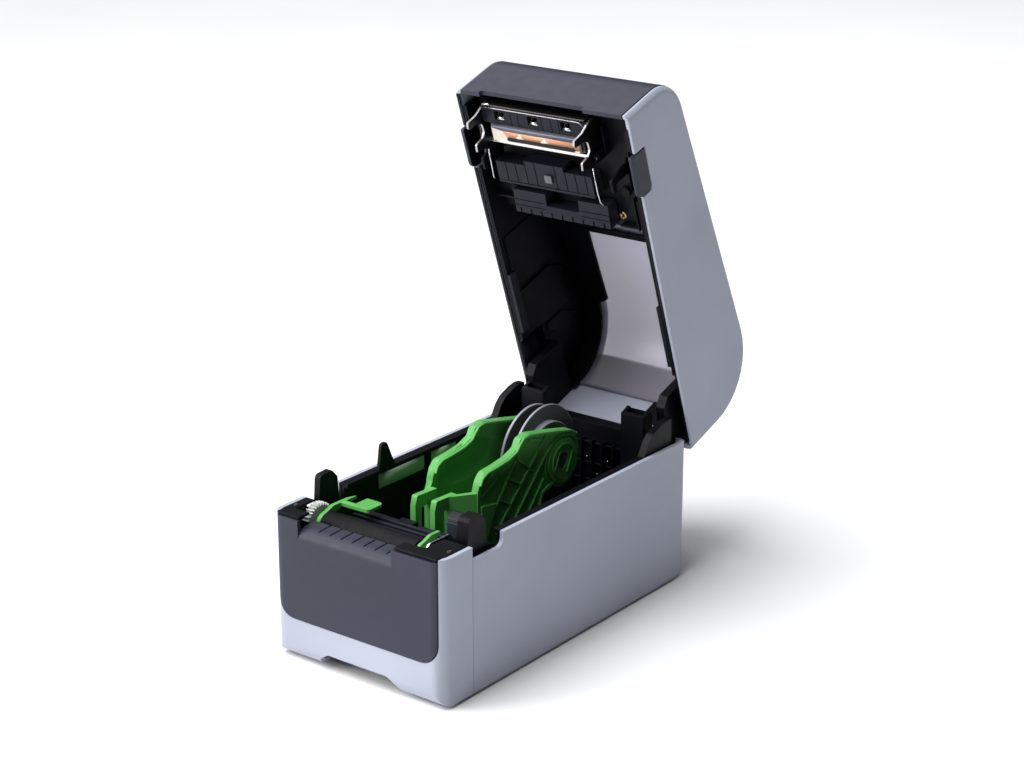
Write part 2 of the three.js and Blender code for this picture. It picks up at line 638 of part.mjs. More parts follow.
function rollGuard() {
  const body = alongX([[60, 80.4], [73.4, 79.4], [73.4, 87.6], [60, 87.6]], -33, 28);
  return cut(body, block(-12, 9, 55, 67, 70, 90));
}

// Cross shaft of the latch with a hook at each end.
function latchShaft() {
  const outline = [
    [37.4, 71.2, 1], [35.2, 81], [35.2, 96.6, 2], [40.8, 96.6, 2], [40.8, 74.4], [45, 74], [44, 71.2],
  ];
  const hooks = mirrorPair((side) => alongX(outline, ...spanX(side, 40.1, 41.5)));
  return joined(barX(LATCH_Y, LATCH_Z, 1.8, -41.6, 41.6, 16), ...hooks);
}

const releaseTab = (side) => alongX([
  [SEAM_Y + GAP, 74.4, 0.8], [NOTCH_REAR, 74.4, 3.5], [NOTCH_REAR, 86.5, 3], [SEAM_Y + GAP, 86.5, 1],
], ...spanX(side, 51.9, 54.2));

const lidButton = (x) => barZ(x, BUTTON_Y, 4.4, 120.5, 127.3, 24);

const statusLight = () => barZ(LIGHT_X, BUTTON_Y, 1.15, 122.5, 126.6, 12);

// ---- assembly -----------------------------------------------------------
function mesh(name, body, material) {
  const part = new THREE.Mesh(geometryOf(body), material);
  part.name = name;
  return part;
}

const sides = [['left', -1], ['right', 1]];
const bothSides = (name, make, material) =>
  sides.map(([word, side]) => mesh(`${word}_${name}`, make(side), material()));

const baseGroup = new THREE.Group();
baseGroup.add(
  mesh('base_shell', baseShell(), lightGrey()),
  mesh('front_cover', frontCover(), lightGrey()),
  mesh('front_panel', frontPanel(), slateGrey()),
  ...bothSides('deck_plate', deckPlate, black),
  ...bothSides('side_frame', sideFrame, black),
  mesh('bay_floor', bayFloor(), black()),
  mesh('rear_inner_wall', rearInnerWall(), black()),
  ...bothSides('hinge_pin', hingePin, steel),
  mesh('guide_plate', guidePlate(), black()),
  mesh('lower_media_sensor', lowerSensor(), black()),
  mesh('cover_switch_housing', switchHousing(), black()),
  mesh('chassis_plate', chassisPlate(), steel()),
  ...bothSides('front_foot', (side) => foot(side, 14), rubber),
  ...bothSides('rear_foot', (side) => foot(side, 190), rubber),
  mesh('feed_motor', motor(), steel()),
  mesh('motor_pinion', motorPinion(), white()),
  mesh('idler_gear', idlerGear(), white()),
  mesh('main_board', mainBoard(), boardGreen()),
  mesh('power_jack', powerJack(), black()),
  mesh('usb_port', usbPort(), steel()),
  mesh('platen_roller', platenRoller(), rubber()),
  mesh('platen_shaft', platenShaft(), steel()),
  mesh('platen_gear', platenGear(), white()),
  ...bothSides('platen_lever', platenLever, green),
  ...bothSides('roll_arm', rollArm, green),
  ...bothSides('core_disc', coreDisc, slateGrey),
  mesh('arm_pinion', armPinion(), white()),
);

const lidParts = new THREE.Group();
lidParts.add(
  mesh('lid_shell', lidShell(), lightGrey()),
  mesh('lid_cap', lidCap(), slateGrey()),
  mesh('window_pane', windowPane(), clear()),
  mesh('window_frame', windowFrame(), black()),
  ...bothSides('lid_lining', lidLining, black),
  mesh('lid_chassis', lidChassis(), black()),
  mesh('tear_bar', tearBar(), steel()),
  mesh('head_bracket', headBracket(), black()),
  ...SPRING_X.map((x, index) => mesh(`head_spring_${index + 1}`, headSpring(x), steel())),
  mesh('heat_sink', heatSink(), steel()),
  mesh('thermal_head', thermalHead(), ceramic()),
  mesh('head_pivot_rod', headPivotRod(), steel()),
  mesh('upper_media_guide', upperGuide(), black()),
  mesh('upper_media_sensor', upperSensor(), slateGrey()),
  mesh('roll_guard', rollGuard(), black()),
  mesh('latch_shaft', latchShaft(), steel()),
  ...bothSides('release_tab', releaseTab, slateGrey),
  mesh('feed_button', lidButton(FEED_X), slateGrey()),
  mesh('power_button', lidButton(POWER_X), slateGrey()),
  mesh('status_light', statusLight(), white()),
);
lidParts.position.set(0, -HINGE_Y, -HINGE_Z);

const lidHinge = new THREE.Group();
lidHinge.add(lidParts);
lidHinge.position.set(0, HINGE_Y, HINGE_Z);
lidHinge.rotation.x = THREE.MathUtils.degToRad(-OPEN_ANGLE);

const labelMaker = new THREE.Group();
labelMaker.add(baseGroup, lidHinge);
labelMaker.position.set(0, CENTRE_SHIFT_Y, FOOT_DROP);

export default labelMaker;
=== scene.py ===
"""Looks of a desktop label maker with its lid open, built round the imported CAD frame.

Places are in the drawing's millimetres: x from the middle, y back from the front panel and z up
from the lower edge of the side walls. Pieces of the lid are drawn with the lid shut.
"""
import json
import math

import bmesh
import bpy
from mathutils import Matrix, Vector


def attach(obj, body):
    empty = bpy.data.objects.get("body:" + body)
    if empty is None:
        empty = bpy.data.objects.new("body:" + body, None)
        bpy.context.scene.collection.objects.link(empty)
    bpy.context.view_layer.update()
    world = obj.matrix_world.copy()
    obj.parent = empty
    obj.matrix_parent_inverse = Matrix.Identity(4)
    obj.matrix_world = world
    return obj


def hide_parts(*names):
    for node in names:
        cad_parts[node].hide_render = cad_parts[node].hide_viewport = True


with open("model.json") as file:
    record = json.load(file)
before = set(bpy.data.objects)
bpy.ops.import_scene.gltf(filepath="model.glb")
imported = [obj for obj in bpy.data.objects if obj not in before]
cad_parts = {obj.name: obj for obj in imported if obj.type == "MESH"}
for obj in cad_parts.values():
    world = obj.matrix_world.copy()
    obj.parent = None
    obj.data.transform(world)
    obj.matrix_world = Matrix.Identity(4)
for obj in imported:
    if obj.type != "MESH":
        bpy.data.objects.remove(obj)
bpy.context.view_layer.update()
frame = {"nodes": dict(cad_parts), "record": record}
BODY_OF = {n: body for body, names in frame["record"]["behaviour"]["bodies"].items() for n in names}
SLOT_BY_NODE = {part["node"]: part["material_slot"] for part in frame["record"]["subparts"]}

# ---- where drawing coordinates go ---------------------------------------
MM = 0.001
SHIFT_Y = -132.85
FOOT_DROP = 1.5
HINGE_Y = 206.2
HINGE_Z = 68.5
OPEN_ANGLE = 70.6

BASE = Matrix.Scale(MM, 4) @ Matrix.Translation((0, SHIFT_Y, FOOT_DROP))
LID = (BASE @ Matrix.Translation((0, HINGE_Y, HINGE_Z))
       @ Matrix.Rotation(math.radians(-OPEN_ANGLE), 4, "X")
       @ Matrix.Translation((0, -HINGE_Y, -HINGE_Z)))

# ---- places that several pieces share -----------------------------------
MEDIA_X = -5.75          # middle of the label path
SPOOL = (155.0, 72.0)    # axis of the core discs (y, z)
PLATEN = (21.0, 67.5)    # axis of the platen (y, z)
SEAM_Y = 23.95           # front edge of the tab notches
NOTCH_REAR = 47.9        # rear edge of the tab notches
LINING_X = 49.7          # inner face of the lid linings
HEAD_UNDERSIDE = 74.95   # printing face of the thermal head
CHASSIS_Z = 88.2         # underside of the lid chassis

# ---- camera and light ---------------------------------------------------
CAMERA_AT = (0.684766, -0.903502, 0.510364)
CAMERA_AZIMUTH = 37.391
CAMERA_ELEVATION = 19.005
CAMERA_ROLL = 0.0886
CAMERA_LENS = 81.22
WORLD_STRENGTH = 0.06
KEY_COLOUR = (1.0, 0.97, 0.93)
FLOOR_REACH = 6


def add_camera():
    azimuth, elevation = math.radians(CAMERA_AZIMUTH), math.radians(CAMERA_ELEVATION)
    ahead = Vector((-math.sin(azimuth) * math.cos(elevation),
                    math.cos(azimuth) * math.cos(elevation), -math.sin(elevation)))
    right = ahead.cross(Vector((0, 0, 1))).normalized()
    up = right.cross(ahead)
    roll = math.radians(CAMERA_ROLL)
    turned_right = right * math.cos(roll) + up * math.sin(roll)
    turned_up = up * math.cos(roll) - right * math.sin(roll)
    matrix = Matrix((turned_right, turned_up, -ahead)).transposed().to_4x4()
    matrix.translation = Vector(CAMERA_AT)
    data = bpy.data.cameras.new("camera")
    data.sensor_width = 36
    data.lens = CAMERA_LENS
    data.clip_start = 0.01
    camera = bpy.data.objects.new("camera", data)
    camera.matrix_world = matrix
    bpy.context.scene.collection.objects.link(camera)
    bpy.context.scene.camera = camera


def add_lamp(name, data, at, towards):
    lamp = bpy.data.objects.new(name, data)
    lamp.location = at
    lamp.rotation_euler = Vector(towards).to_track_quat("-Z", "Y").to_euler()
    bpy.context.scene.collection.objects.link(lamp)


def add_softbox(name, at, target, size, power, colour=(1, 1, 1)):
    data = bpy.data.lights.new(name, "AREA")
    data.shape = "RECTANGLE"
    data.size, data.size_y = size
    data.energy = power
    data.color = colour
    add_lamp(name, data, at, Vector(target) - Vector(at))


def add_sun(name, towards, strength, spread):
    data = bpy.data.lights.new(name, "SUN")
    data.energy = strength
    data.angle = math.radians(spread)
    add_lamp(name, data, (0, 0, 0), towards)


def add_world(strength):
    """Weak even light all round, which shows as plain white behind the object."""
    world = bpy.data.worlds.new("studio")
    world.use_nodes = True
    tree = world.node_tree
    background = tree.nodes["Background"]
    background.inputs["Color"].default_value = (0.95, 0.96, 1, 1)
    seen = tree.nodes.new("ShaderNodeLightPath").outputs["Is Camera Ray"]
    level = tree.nodes.new("ShaderNodeMapRange")
    level.inputs["To Min"].default_value = strength
    level.inputs["To Max"].default_value = 1.0
    tree.links.new(seen, level.inputs["Value"])
    tree.links.new(level.outputs["Result"], background.inputs["Strength"])
    bpy.context.scene.world = world


def light_scene():
    add_world(WORLD_STRENGTH)
    add_sun("ceiling_light", (0.34, 0.40, -1.0), 3.4, 50)
    add_softbox("key_light", (-1.15, -1.25, 0.62), (0, 0, 0.12), (0.9, 0.9), 22.5, KEY_COLOUR)
    add_softbox("front_fill", (0.15, -0.95, 1.5), (0, 0.06, 0.12), (0.7, 0.7), 6.5)
    add_softbox("top_strip", (-0.5, 0.35, 1.3), (0, 0.05, 0.2), (0.8, 1.4), 6)
    add_softbox("rear_light", (0.3, 1.6, 0.9), (0, 0, 0.15), (1.2, 0.8), 2)
    bpy.context.scene.view_settings.view_transform = "Standard"


# ---- material helpers ---------------------------------------------------
NOISE_LOW, NOISE_HIGH = 0.3, 0.7   # most of a noise texture lies between these
RAMP_LOW, RAMP_HIGH = 0.35, 0.65
GRAIN_DEPTH = 0.00003
FINE_DEPTH = 0.00001
EDGE_LOW, EDGE_HIGH = 0.52, 0.62   # pointiness of a worn edge


def new_material(name):
    material = bpy.data.materials.new(name)
    material.use_nodes = True
    tree = material.node_tree
    shader = tree.nodes["Principled BSDF"]
    place = tree.nodes.new("ShaderNodeTexCoord")
    return material, tree, shader, place.outputs["Object"]


def add_noise(tree, place, scale, detail=3.0, stretch=None):
    noise = tree.nodes.new("ShaderNodeTexNoise")
    noise.inputs["Scale"].default_value = scale
    noise.inputs["Detail"].default_value = detail
    if stretch:
        mapping = tree.nodes.new("ShaderNodeMapping")
        mapping.inputs["Scale"].default_value = stretch
        tree.links.new(place, mapping.inputs["Vector"])
        place = mapping.outputs["Vector"]
    tree.links.new(place, noise.inputs["Vector"])
    return noise.outputs["Fac"]


def add_ramp(tree, source, low, high, start=RAMP_LOW, end=RAMP_HIGH):
    ramp = tree.nodes.new("ShaderNodeValToRGB")
    first, last = ramp.color_ramp.elements[0], ramp.color_ramp.elements[1]
    first.position = start
    first.color = (*low, 1)
    last.position = end
    last.color = (*high, 1)
    tree.links.new(source, ramp.inputs["Fac"])
    return ramp.outputs["Color"]


def add_range(tree, source, low, high):
    spread = tree.nodes.new("ShaderNodeMapRange")
    spread.inputs["From Min"].default_value = NOISE_LOW
    spread.inputs["From Max"].default_value = NOISE_HIGH
    spread.inputs["To Min"].default_value = low
    spread.inputs["To Max"].default_value = high
    tree.links.new(source, spread.inputs["Value"])
    return spread.outputs["Result"]


def add_mix(tree, factor):
    mix = tree.nodes.new("ShaderNodeMix")
    mix.data_type = "RGBA"
    tree.links.new(factor, mix.inputs["Factor"])
    return mix


def add_bump(tree, shader, source, distance, strength=1.0):
    bump = tree.nodes.new("ShaderNodeBump")
    bump.inputs["Distance"].default_value = distance
    bump.inputs["Strength"].default_value = strength
    tree.links.new(source, bump.inputs["Height"])
    tree.links.new(bump.outputs["Normal"], shader.inputs["Normal"])


def tinted(colour, factor):
    return tuple(min(1.0, channel * factor) for channel in colour)


# ---- materials ----------------------------------------------------------
def moulded(name, colour, roughness, grain=1800, depth=GRAIN_DEPTH, spread=0.06, specular=0.5, worn=0.0):
    """Moulded plastic: fine spark-eroded grain, slight cloudiness, and edges that catch wear."""
    material, tree, shader, place = new_material(name)
    cloud = add_noise(tree, place, 14, 4)
    base = add_ramp(tree, cloud, tinted(colour, 1 - spread), tinted(colour, 1 + spread))
    if worn:
        edge = tree.nodes.new("ShaderNodeNewGeometry")
        mask = add_ramp(tree, edge.outputs["Pointiness"], (0, 0, 0), (1, 1, 1), EDGE_LOW, EDGE_HIGH)
        mix = add_mix(tree, mask)
        tree.links.new(base, mix.inputs["A"])
        mix.inputs["B"].default_value = (*tinted(colour, 1 + worn), 1)
        base = mix.outputs["Result"]
    tree.links.new(base, shader.inputs["Base Color"])
    gloss = add_range(tree, add_noise(tree, place, 160, 5), roughness - 0.05, roughness + 0.05)
    tree.links.new(gloss, shader.inputs["Roughness"])
    shader.inputs["Specular IOR Level"].default_value = specular
    add_bump(tree, shader, add_noise(tree, place, grain, 2), depth, 0.6)
    return material


def metal(name, colour, roughness, stretch=(1, 1, 1), spread=0.08):
    """Metal with faint streaks along its rolling direction."""
    material, tree, shader, place = new_material(name)
    streaks = add_noise(tree, place, 700, 3, stretch)
    base = add_ramp(tree, streaks, tinted(colour, 1 - spread), tinted(colour, 1 + spread))
    tree.links.new(base, shader.inputs["Base Color"])
    gloss = add_range(tree, streaks, roughness - 0.08, roughness + 0.08)
    tree.links.new(gloss, shader.inputs["Roughness"])
    shader.inputs["Metallic"].default_value = 1.0
    add_bump(tree, shader, streaks, FINE_DEPTH, 0.5)
    return material


def smoked_glass(shade_band_z=0.0965, fade=0.0006):
    """Clear smoked pane, darker and denser below a height, where the shade seen through the lower pane is
    painted in.
    """
    material, tree, shader, place = new_material("smoked_window")
    split = tree.nodes.new("ShaderNodeSeparateXYZ")
    tree.links.new(place, split.inputs["Vector"])
    height = tree.nodes.new("ShaderNodeMapRange")
    height.inputs["From Min"].default_value = shade_band_z - fade
    height.inputs["From Max"].default_value = shade_band_z + fade
    tree.links.new(split.outputs["Z"], height.inputs["Value"])
    above = height.outputs["Result"]
    cloud = add_noise(tree, place, 30, 2)
    mix = add_mix(tree, above)
    # Colour A and the denser alpha below the height are painted shade.
    mix.inputs["A"].default_value = (0.19, 0.18, 0.235, 1)
    tree.links.new(add_ramp(tree, cloud, (0.50, 0.47, 0.66), (0.51, 0.48, 0.67)), mix.inputs["B"])
    tree.links.new(mix.outputs["Result"], shader.inputs["Base Color"])
    tree.links.new(add_range(tree, above, 0.82, 0.60), shader.inputs["Alpha"])
    shader.inputs["Roughness"].default_value = 0.32
    shader.inputs["IOR"].default_value = 1.5
    return material


def rubber():
    material, tree, shader, place = new_material("dark_rubber")
    cloud = add_noise(tree, place, 30, 4)
    base = add_ramp(tree, cloud, (0.0035, 0.0035, 0.0042), (0.007, 0.007, 0.0085))
    tree.links.new(base, shader.inputs["Base Color"])
    gloss = add_range(tree, add_noise(tree, place, 500, 4), 0.42, 0.6)
    tree.links.new(gloss, shader.inputs["Roughness"])
    shader.inputs["Specular IOR Level"].default_value = 0.1
    add_bump(tree, shader, add_noise(tree, place, 2400, 2), 0.00004, 0.7)
    return material


def circuit_board():
    material, tree, shader, place = new_material("board_laminate")
    cells = tree.nodes.new("ShaderNodeTexVoronoi")
    cells.distance = "MANHATTAN"
    cells.inputs["Scale"].default_value = 260
    tree.links.new(place, cells.inputs["Vector"])
    base = add_ramp(tree, cells.outputs["Distance"], (0.012, 0.10, 0.035), (0.03, 0.2, 0.07))
    tree.links.new(base, shader.inputs["Base Color"])
    gloss = add_range(tree, add_noise(tree, place, 90, 3), 0.3, 0.42)
    tree.links.new(gloss, shader.inputs["Roughness"])
    add_bump(tree, shader, cells.outputs["Distance"], 0.00005, 0.5)
    return material


def floor_material():
    material, tree, shader, place = new_material("studio_floor")
    cloud = add_noise(tree, place, 2.5, 3)
    base = add_ramp(tree, cloud, (0.86, 0.865, 0.875), (0.88, 0.885, 0.89))
    tree.links.new(base, shader.inputs["Base Color"])
    tree.links.new(add_range(tree, cloud, 0.6, 0.7), shader.inputs["Roughness"])
    return material


LIGHT_GREY = moulded("light_grey_plastic", (0.36, 0.385, 0.47), 0.45, worn=0.12, specular=0.25)
SLATE = moulded("slate_plastic", (0.0235, 0.0268, 0.044), 0.46, worn=0.25, spread=0.05, specular=0.25)
BLACK = moulded("black_plastic", (0.0028, 0.003, 0.0048), 0.42, grain=1400, worn=0.9, specular=0.11)
BLACK_SMOOTH = moulded("black_smooth", (0.009, 0.0098, 0.016), 0.36, 2600, FINE_DEPTH, worn=0.9,
                       specular=0.12)
GREEN = moulded("green_plastic", (0.090, 0.35, 0.080), 0.36, 2400, FINE_DEPTH, worn=0.25, specular=0.25)
DISC_FACE = moulded("disc_face", (0.09, 0.092, 0.105), 0.36, 2400, FINE_DEPTH)
# Lighter copy of the disc's grey for its rim and hub sides: painted light on the faces that catch it.
DISC_LIT_RIM = moulded("disc_lit_rim", (0.30, 0.31, 0.36), 0.34, 2400, FINE_DEPTH)
WHITE = moulded("white_plastic", (0.46, 0.47, 0.47), 0.35, 2600, FINE_DEPTH)
CERAMIC = moulded("head_ceramic", (0.66, 0.60, 0.50), 0.30, 900, FINE_DEPTH, spread=0.12)
STICKER = moulded("sticker_film", (0.45, 0.52, 0.44), 0.45, 700, FINE_DEPTH, spread=0.1)
COPPER = moulded("copper_film", (0.60, 0.30, 0.17), 0.34, 900, FINE_DEPTH, spread=0.14)
BLUE_FILM = moulded("blue_film", (0.10, 0.11, 0.16), 0.38, 900, FINE_DEPTH, spread=0.12)
STEEL = metal("bright_steel", (0.66, 0.665, 0.68), 0.24, (1, 12, 1))
EDGE_STEEL = metal("edge_steel", (0.40, 0.39, 0.39), 0.34, (1, 6, 1))
DARK_STEEL = metal("dark_steel", (0.07, 0.066, 0.07), 0.36, (1, 6, 1), 0.15)
BRASS = metal("brass", (0.62, 0.47, 0.24), 0.30, spread=0.15)
WINDOW = smoked_glass()
RUBBER = rubber()
BOARD = circuit_board()

SLOT_LOOK = {
    "light_grey_plastic": LIGHT_GREY, "slate_plastic": SLATE, "black_plastic": BLACK,
    "green_plastic": GREEN, "grey_disc_plastic": DISC_FACE, "smoked_window": WINDOW,
    "bright_steel": STEEL, "dark_rubber": RUBBER, "white_plastic": WHITE,
    "head_ceramic": CERAMIC, "board_laminate": BOARD,
}


# ---- mesh helpers -------------------------------------------------------
MERGE_DISTANCE = 2e-6
FLAT_ANGLE = math.radians(0.4)
BEVEL_ANGLE = math.radians(30)


def place_mesh(name, mesh, matrix, body, slot, *materials):
    """A piece in the frame's metres, which rides on a body. The slot is not used."""
    mesh.transform(matrix)
    mesh.update()
    for material in materials:
        mesh.materials.append(material)
    piece = bpy.data.objects.new(name, mesh)
    bpy.context.scene.collection.objects.link(piece)
    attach(piece, body)
    return piece


def in_base(name, mesh, slot, *materials, body="base"):
    return place_mesh(name, mesh, BASE, body, slot, *materials)


def in_lid(name, mesh, slot, *materials, body="lid"):
    return place_mesh(name, mesh, LID, body, slot, *materials)


def finish_mesh(name, builder):
    bmesh.ops.recalc_face_normals(builder, faces=builder.faces)
    for face in builder.faces:
        face.smooth = True
    mesh = bpy.data.meshes.new(name)
    builder.to_mesh(mesh)
    builder.free()
    return mesh


def soften(piece, width, segments=2):
    """Rounded edges from a bevel, with normals that keep the flats flat."""
    bevel = piece.modifiers.new("bevel", "BEVEL")
    bevel.width = width * MM
    bevel.segments = segments
    bevel.limit_method = "ANGLE"
    bevel.angle_limit = BEVEL_ANGLE
    bevel.miter_outer = "MITER_ARC"
    weighted = piece.modifiers.new("weighted", "WEIGHTED_NORMAL")
    weighted.keep_sharp = True
    return piece


def turns(sides):
    """Angles of evenly spaced points round a circle."""
    return [2 * math.pi * step / sides for step in range(sides)]


def join_rings(builder, first, second):
    """Band of faces between two closed rings of vertices."""
    sides = len(first)
    for step in range(sides):
        after = (step + 1) % sides
        builder.faces.new((first[step], first[after], second[after], second[step]))


def tube_mesh(name, builder, rings):
    """Closed body through a row of rings."""
    for first, second in zip(rings, rings[1:]):
        join_rings(builder, first, second)
    builder.faces.new(rings[0])
    builder.faces.new(rings[-1])
    return finish_mesh(name, builder)


def prism(name, outline, low, high, axis="z"):
    """Flat outline drawn in the two other axes and extruded along one axis."""
    def corner(u, v, w):
        return {"x": (w, u, v), "y": (u, w, v), "z": (u, v, w)}[axis]
    builder = bmesh.new()
    lower, upper = [[builder.verts.new(corner(u, v, w)) for u, v in outline] for w in (low, high)]
    builder.faces.new(lower)
    builder.faces.new(upper[::-1])
    join_rings(builder, lower, upper)
    return finish_mesh(name, builder)


def slab(name, x0, x1, y0, y1, z0, z1):
    """Block between two corners."""
    return prism(name, [(x0, y0), (x1, y0), (x1, y1), (x0, y1)], z0, z1)


def merged(name, meshes):
    """One mesh made of several, which are used up."""
    builder = bmesh.new()
    for mesh in meshes:
        builder.from_mesh(mesh)
        bpy.data.meshes.remove(mesh)
    return finish_mesh(name, builder)


def tube(name, points, radius, sides=10):
    """Round bar swept along a path of points."""
    points = [Vector(point) for point in points]
    builder = bmesh.new()
    rings = []
    side = None
    for index, point in enumerate(points):
        before = points[max(index - 1, 0)]
        after = points[min(index + 1, len(points) - 1)]
        along = (after - before).normalized()
        if side is None:
            side = along.orthogonal().normalized()
        side = (side - along * side.dot(along)).normalized()
        other = along.cross(side)
        rings.append([builder.verts.new(point + radius * (side * math.cos(turn) + other * math.sin(turn)))
                      for turn in turns(sides)])
    return tube_mesh(name, builder, rings)


def lathe(name, profile, centre, axis="x", sides=64):
    """Closed round body: profile is (distance along the axis, radius) from end to end."""
    cx, cy, cz = centre
    builder = bmesh.new()
    rings = []
    for along, radius in profile:
        ring = []
        for turn in turns(sides):
            u, v = radius * math.cos(turn), radius * math.sin(turn)
            x, y, z = {"x": (along, u, v), "y": (u, along, v), "z": (u, v, along)}[axis]
            ring.append(builder.verts.new((cx + x, cy + y, cz + z)))
        rings.append(ring)
    return tube_mesh(name, builder, rings)


def carved(mesh, cutters):
    """The mesh with closed cutter meshes taken out of it."""
    piece = bpy.data.objects.new("carving", mesh)
    tool = bpy.data.objects.new("cutter", merged("cutter", cutters))
    for item in (piece, tool):
        bpy.context.scene.collection.objects.link(item)
    boolean = piece.modifiers.new("carve", "BOOLEAN")
    boolean.object = tool
    boolean.operation = "DIFFERENCE"
    boolean.solver = "EXACT"
    boolean.use_self = True
    bpy.context.view_layer.update()
    result = bpy.data.meshes.new_from_object(piece.evaluated_get(bpy.context.evaluated_depsgraph_get()))
    bpy.data.objects.remove(piece)
    bpy.data.objects.remove(tool)
    return result


def refine(node, width, materials=None, pick=None, cutters=(), matrix=None):
    """The CAD node's shape with clean faces, rounded edges and its own finish.

    pick gives a face the number of its material, and matrix places the cutters.
    """
    source = frame["nodes"][node]
    slot = SLOT_BY_NODE[node]
    builder = bmesh.new()
    builder.from_mesh(source.data)
    bmesh.ops.remove_doubles(builder, verts=builder.verts, dist=MERGE_DISTANCE)
    if cutters:
        for cutter in cutters:
            cutter.transform(matrix)
        plain = bpy.data.meshes.new(f"{node}_plain")
        builder.to_mesh(plain)
        builder.clear()
        builder.from_mesh(carved(plain, cutters))
        bmesh.ops.remove_doubles(builder, verts=builder.verts, dist=MERGE_DISTANCE)
    bmesh.ops.dissolve_limit(builder, angle_limit=FLAT_ANGLE, verts=builder.verts, edges=builder.edges)
    for layer in list(builder.loops.layers.uv.values()):
        builder.loops.layers.uv.remove(layer)
    builder.normal_update()
    for face in builder.faces:
        face.smooth = True
        face.material_index = pick(face) if pick else 0
    mesh = bpy.data.meshes.new(f"{node}_finish")
    builder.to_mesh(mesh)
    builder.free()
    looks = materials or [SLOT_LOOK[slot]]
    piece = place_mesh(f"{node}_finish", mesh, Matrix.Identity(4), BODY_OF[node], slot, *looks)
    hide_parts(node)
    return soften(piece, width)


# ---- base ---------------------------------------------------------------
SIDE_EDGES = {"deck_plate": 0.3, "side_frame": 0.4, "platen_lever": 0.35, "front_foot": 0.4,
              "rear_foot": 0.4, "hinge_pin": 0.25}
BASE_LOOKS = {"guide_plate": [BLACK_SMOOTH], "cover_switch_housing": [BLACK_SMOOTH]}
BASE_EDGES = {
    "bay_floor": 0.3, "rear_inner_wall": 0.35, "guide_plate": 0.35, "lower_media_sensor": 0.2,
    "cover_switch_housing": 0.5, "chassis_plate": 0.15, "feed_motor": 0.5, "motor_pinion": 0.08,
    "idler_gear": 0.1, "platen_gear": 0.12, "main_board": 0.1, "power_jack": 0.25, "usb_port": 0.15,
    "platen_shaft": 0.3, "arm_pinion": 0.1,
}


def build_base():
    refine("base_shell", 0.45)
    refine("front_cover", 0.45)
    refine("front_panel", 0.3)
    for side in ("left", "right"):
        for part, width in SIDE_EDGES.items():
            node = f"{side}_{part}"
            thumb_room = [slab("cut", -35.6, -29.0, 34.8, 45, 73, 77)] if node == "left_platen_lever" else ()
            refine(node, width, cutters=thumb_room, matrix=BASE)
    for node, width in BASE_EDGES.items():
        refine(node, width, BASE_LOOKS.get(node))


def build_platen(left=-35.5, right=24.5, radius=7.0, bore=3.3, round_off=0.4):
    profile = [(left, bore), (left, radius - round_off), (left + round_off, radius),
               (right - round_off, radius), (right, radius - round_off), (right, bore)]
    piece = in_base("platen_cover", lathe("platen_cover", profile, (0, *PLATEN), sides=72),
                    "dark_rubber", RUBBER, body="platen")
    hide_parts("platen_roller")
    soften(piece, 0.1)


# ---- details of the base ------------------------------------------------
def screw(centre, radius, height, turn, upward=False):
    """Domed screw head with a cross recess, which faces down unless told otherwise."""
    profile = [(0.0, radius * 0.55), (0.12 * height, radius * 0.82), (0.4 * height, radius), (height, radius)]
    head = lathe("screw", profile, (0, 0, 0), axis="z", sides=28)
    arm, half, depth = radius * 0.62, radius * 0.13, height * 0.6
    head = carved(head, [slab("slot", -arm, arm, -half, half, -1, depth),
                         slab("slot", -half, half, -arm, arm, -1, depth)])
    head.transform(Matrix.Rotation(math.radians(turn), 4, "Z"))
    if upward:
        head.transform(Matrix.Rotation(math.pi, 4, "X"))
    head.transform(Matrix.Translation(centre))
    return head


def build_wall_stickers():
    films = [slab("film", -49.45, -49.3, front, rear, 65.8, 74.6) for front, rear in ((76, 113), (119, 140))]
    in_base("wall_stickers", merged("wall_stickers", films), "board_laminate", STICKER)


def build_rear_wall_grid():
    ribs = [slab("rib", x - 0.5, x + 0.5, 197.6, 199.5, 22, 66) for x in (-33, -27, -21, 21, 24)]
    ribs += [slab("rib", -24, 24, 198.2, 199.5, z, z + 1) for z in (30, 44, 54, 66)]
    soften(in_base("rear_wall_grid", merged("rear_wall_grid", ribs), "black_plastic", BLACK), 0.15)
    pins = [lathe("dot", [(198.0, 0.5), (197.5, 0.35)], (x, 0, z), axis="y", sides=10)
            for x, z in ((-17.5, 58), (-3.5, 58), (10.5, 58), (17.5, 49), (3.5, 49))]
    in_base("rear_wall_pins", merged("rear_wall_pins", pins), "bright_steel", STEEL)


def build_base_screws():
    deck = [screw((x, 12.6, 77.95), 1.5, 0.5, turn, upward=True) for x, turn in ((-49.0, 15), (49.0, 50))]
    in_base("deck_screws", merged("deck_screws", deck), "bright_steel", DARK_STEEL)
    under = [screw((x, y, -0.55), 2.6, 0.75, x + y) for y in (34, 172) for x in (-44, 44)]
    in_base("base_screws", merged("base_screws", under), "bright_steel", STEEL)


def build_base_details():
    build_wall_stickers()
    build_rear_wall_grid()
    build_base_screws()
    cover = slab("gear_cover", -46.0, -38.8, 9.4, 10.2, 50.0, 71.5)
    soften(in_base("gear_cover", cover, "black_plastic", BLACK), 0.2)
    plate = slab("rating_plate", -26, 26, 84, 124, -0.12, 0.02)
    in_base("blank_rating_plate", plate, "white_plastic", WHITE)


# ---- roll arms and core discs -------------------------------------------
DISH_CENTRE = (113.5, 77.5)
DISH_REACH = (20.5, 10.5)
DISH_TILT = math.radians(5)
DISH_SIDES = 56
DISH_LEVELS = 10
DISH_PLANE = MEDIA_X - 14.02

# Distances from the middle of the label path to the faces that ribs stand on, and to their tops.
WEB_FACE, WEB_RIB_TOP = 15.3, 16.5
HUB_FACE, HUB_RIB_TOP = 17.1, 18.0
RIB_THICK = 0.9
RING_THICK = 1.0
HUB_RADIUS = 13.6

